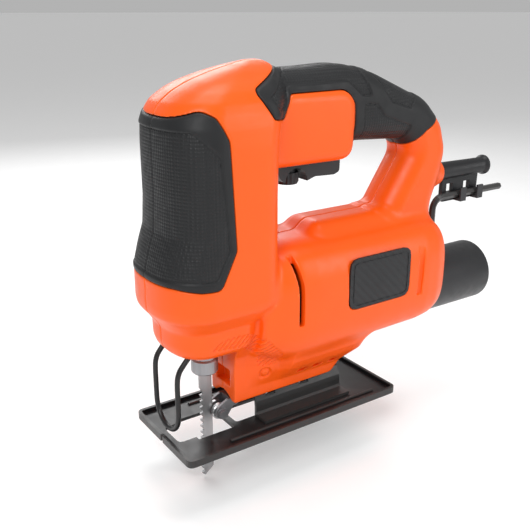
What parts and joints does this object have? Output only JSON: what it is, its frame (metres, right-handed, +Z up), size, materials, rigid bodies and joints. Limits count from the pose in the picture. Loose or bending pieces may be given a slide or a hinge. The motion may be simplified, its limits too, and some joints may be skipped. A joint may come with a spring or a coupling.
{
  "type": "jigsaw power tool",
  "caption": "Corded jigsaw with an orange two-part housing, black rubber grips, tilting steel shoe, reciprocating toothed blade and rear dust outlet.",
  "frame": {"origin": "on the sole plane, in the middle plane of the tool, directly under the blade's rear edge", "axes": "+Z up from the sole; +X towards the rear of the tool, so the blade side is -X; +Y towards the side that carries the lock button"},
  "size_m": [0.2737, 0.0692, 0.2392],
  "materials": {
    "housing_orange": "satin glass-filled nylon",
    "grip_rubber": "fine-grained moulded rubber",
    "black_plastic": "fine matt grain",
    "black_steel": "black oxide and black lacquer",
    "steel": "ground and zinc-plated",
    "zinc": "zinc die casting",
    "blade_steel": "ground blade steel",
    "gear_steel": "hardened steel",
    "copper": "enamelled copper",
    "brass": "turned brass and bronze",
    "carbon": "pressed carbon",
    "lamination": "stacked electrical steel",
    "fan_plastic": "moulded nylon",
    "capacitor_blue": "dipped resin"
  },
  "bodies": {
    "housing": {"housing_left": "housing_orange", "housing_right": "housing_orange", "front_grip_left": "grip_rubber", "front_grip_right": "grip_rubber", "handle_grip_left": "grip_rubber", "handle_grip_right": "grip_rubber", "badge_left": "black_plastic", "badge_right": "black_plastic", "cord_sleeve": "black_plastic", "cord_clamp": "black_plastic", "dust_outlet": "black_plastic", "switch_body": "black_plastic", "guard_wire": "black_steel", "hex_key": "black_steel", "front_bearing": "steel", "rear_bearing": "steel", "trigger_spring": "steel", "lock_spring": "steel", "brush_spring_left": "steel", "brush_spring_right": "steel", "gear_spindle": "steel", "bracket_screw": "steel", "clamp_screw_front": "steel", "clamp_screw_rear": "steel", "housing_screw_1": "steel", "housing_screw_2": "steel", "housing_screw_3": "steel", "housing_screw_4": "steel", "housing_screw_5": "steel", "housing_screw_6": "steel", "gear_carrier": "zinc", "roller_bracket": "zinc", "roller_pin": "zinc", "clamp_bar": "zinc", "field_coil_upper": "copper", "field_coil_lower": "copper", "brush_holder_left": "brass", "brush_holder_right": "brass", "plunger_bush_lower": "brass", "plunger_bush_upper": "brass", "carbon_brush_left": "carbon", "carbon_brush_right": "carbon", "stator_core": "lamination", "suppressor_capacitor": "capacitor_blue"},
    "trigger": {"trigger": "black_plastic"},
    "dial": {"speed_dial": "black_plastic"},
    "lock": {"lock_button": "black_plastic"},
    "plunger_unit": {"plunger": "steel", "scotch_yoke": "gear_steel", "saw_blade": "blade_steel"},
    "collar": {"clamp_collar": "zinc"},
    "motor": {"armature_shaft": "gear_steel", "armature_core": "lamination", "armature_winding": "copper", "commutator": "copper", "fan": "fan_plastic"},
    "gear": {"drive_gear": "gear_steel"},
    "roller": {"guide_roller": "gear_steel"},
    "shoe": {"shoe_plate": "black_steel", "bevel_arch": "black_steel"}
  },
  "joints": [
    {"name": "trigger_slide", "type": "slide", "parent": "housing", "child": "trigger", "axis": [0, 0, 1], "range_m": [0, 0.005], "stiffness_N_per_m": 800, "springref_m": -0.003, "deforming": ["trigger_spring"]},
    {"name": "dial_turn", "type": "hinge", "parent": "trigger", "child": "dial", "pos_m": [0.053, 0, 0.139], "axis": [0, 0, 1], "range_deg": [-150, 150]},
    {"name": "lock_slide", "type": "slide", "parent": "housing", "child": "lock", "axis": [0, -1, 0], "range_m": [0, 0.0025], "stiffness_N_per_m": 400, "springref_m": -0.003, "deforming": ["lock_spring"]},
    {"name": "blade_stroke", "type": "slide", "parent": "housing", "child": "plunger_unit", "axis": [0, 0, 1], "range_m": [0, 0.016]},
    {"name": "collar_turn", "type": "hinge", "parent": "plunger_unit", "child": "collar", "pos_m": [-0.004, 0, 0.0365], "axis": [0, 0, 1], "range_deg": [0, 75], "stiffness_Nm_per_rad": 0.05, "springref_deg": -17.19},
    {"name": "motor_spin", "type": "hinge", "parent": "housing", "child": "motor", "pos_m": [0, 0, 0.074], "axis": [1, 0, 0], "continuous": true},
    {"name": "gear_spin", "type": "hinge", "parent": "housing", "child": "gear", "pos_m": [0, 0, 0.0985], "axis": [1, 0, 0], "continuous": true},
    {"name": "roller_spin", "type": "hinge", "parent": "housing", "child": "roller", "pos_m": [0.0036, 0, 0.009], "axis": [0, 1, 0], "continuous": true},
    {"name": "shoe_tilt", "type": "hinge", "parent": "housing", "child": "shoe", "pos_m": [0.03, 0, 0.009], "axis": [1, 0, 0], "range_deg": [-45, 45]}
  ],
  "couplings": [
    {"joint": "gear_spin", "follows": "motor_spin", "ratio": -0.16667}
  ]
}
